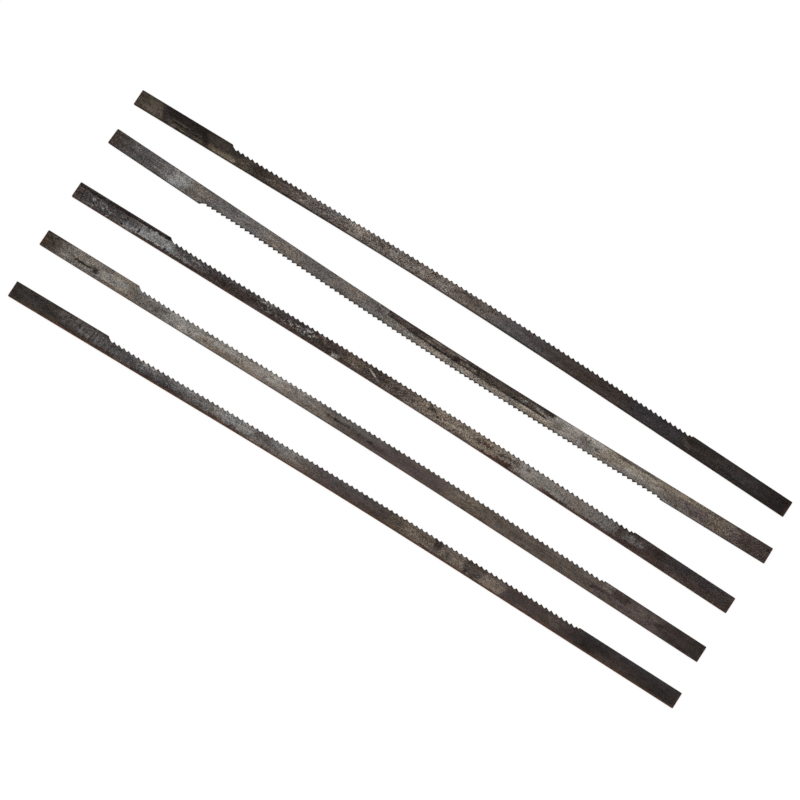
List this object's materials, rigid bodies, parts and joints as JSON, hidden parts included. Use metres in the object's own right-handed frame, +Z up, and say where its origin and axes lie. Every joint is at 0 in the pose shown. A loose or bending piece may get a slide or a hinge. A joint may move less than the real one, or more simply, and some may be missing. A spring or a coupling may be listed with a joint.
{
  "type": "fret saw blade set",
  "caption": "Loose flat steel fret saw blades with plain clamping ends and a fine milled row of hooked teeth, slightly bowed, laid side by side.",
  "frame": {"origin": "middle of the set's box, on the surface that the blades lie on", "axes": "+X along the blades from their front ends to their rear ends, +Y across the set from the lowest blade in the picture to the uppermost, +Z up through the thickness"},
  "size_m": [0.1314, 0.043, 0.0005],
  "materials": {
    "blade_1_steel": "blackened, stained and worn spring steel",
    "blade_2_steel": "blackened, stained and worn spring steel",
    "blade_3_steel": "blackened, stained and worn spring steel",
    "blade_4_steel": "blackened, stained and worn spring steel",
    "blade_5_steel": "blackened, stained and worn spring steel"
  },
  "bodies": {
    "blade_1": {"blade_1": "blade_1_steel"},
    "blade_2": {"blade_2": "blade_2_steel"},
    "blade_3": {"blade_3": "blade_3_steel"},
    "blade_4": {"blade_4": "blade_4_steel"},
    "blade_5": {"blade_5": "blade_5_steel"}
  },
  "joints": [
    {"name": "blade_1_lift", "type": "slide", "parent": "blade_3", "child": "blade_1", "axis": [0, 0, 1], "range_m": [0, 0.02]},
    {"name": "blade_2_lift", "type": "slide", "parent": "blade_3", "child": "blade_2", "axis": [0, 0, 1], "range_m": [0, 0.02]},
    {"name": "blade_4_lift", "type": "slide", "parent": "blade_3", "child": "blade_4", "axis": [0, 0, 1], "range_m": [0, 0.02]},
    {"name": "blade_5_lift", "type": "slide", "parent": "blade_3", "child": "blade_5", "axis": [0, 0, 1], "range_m": [0, 0.02]}
  ]
}
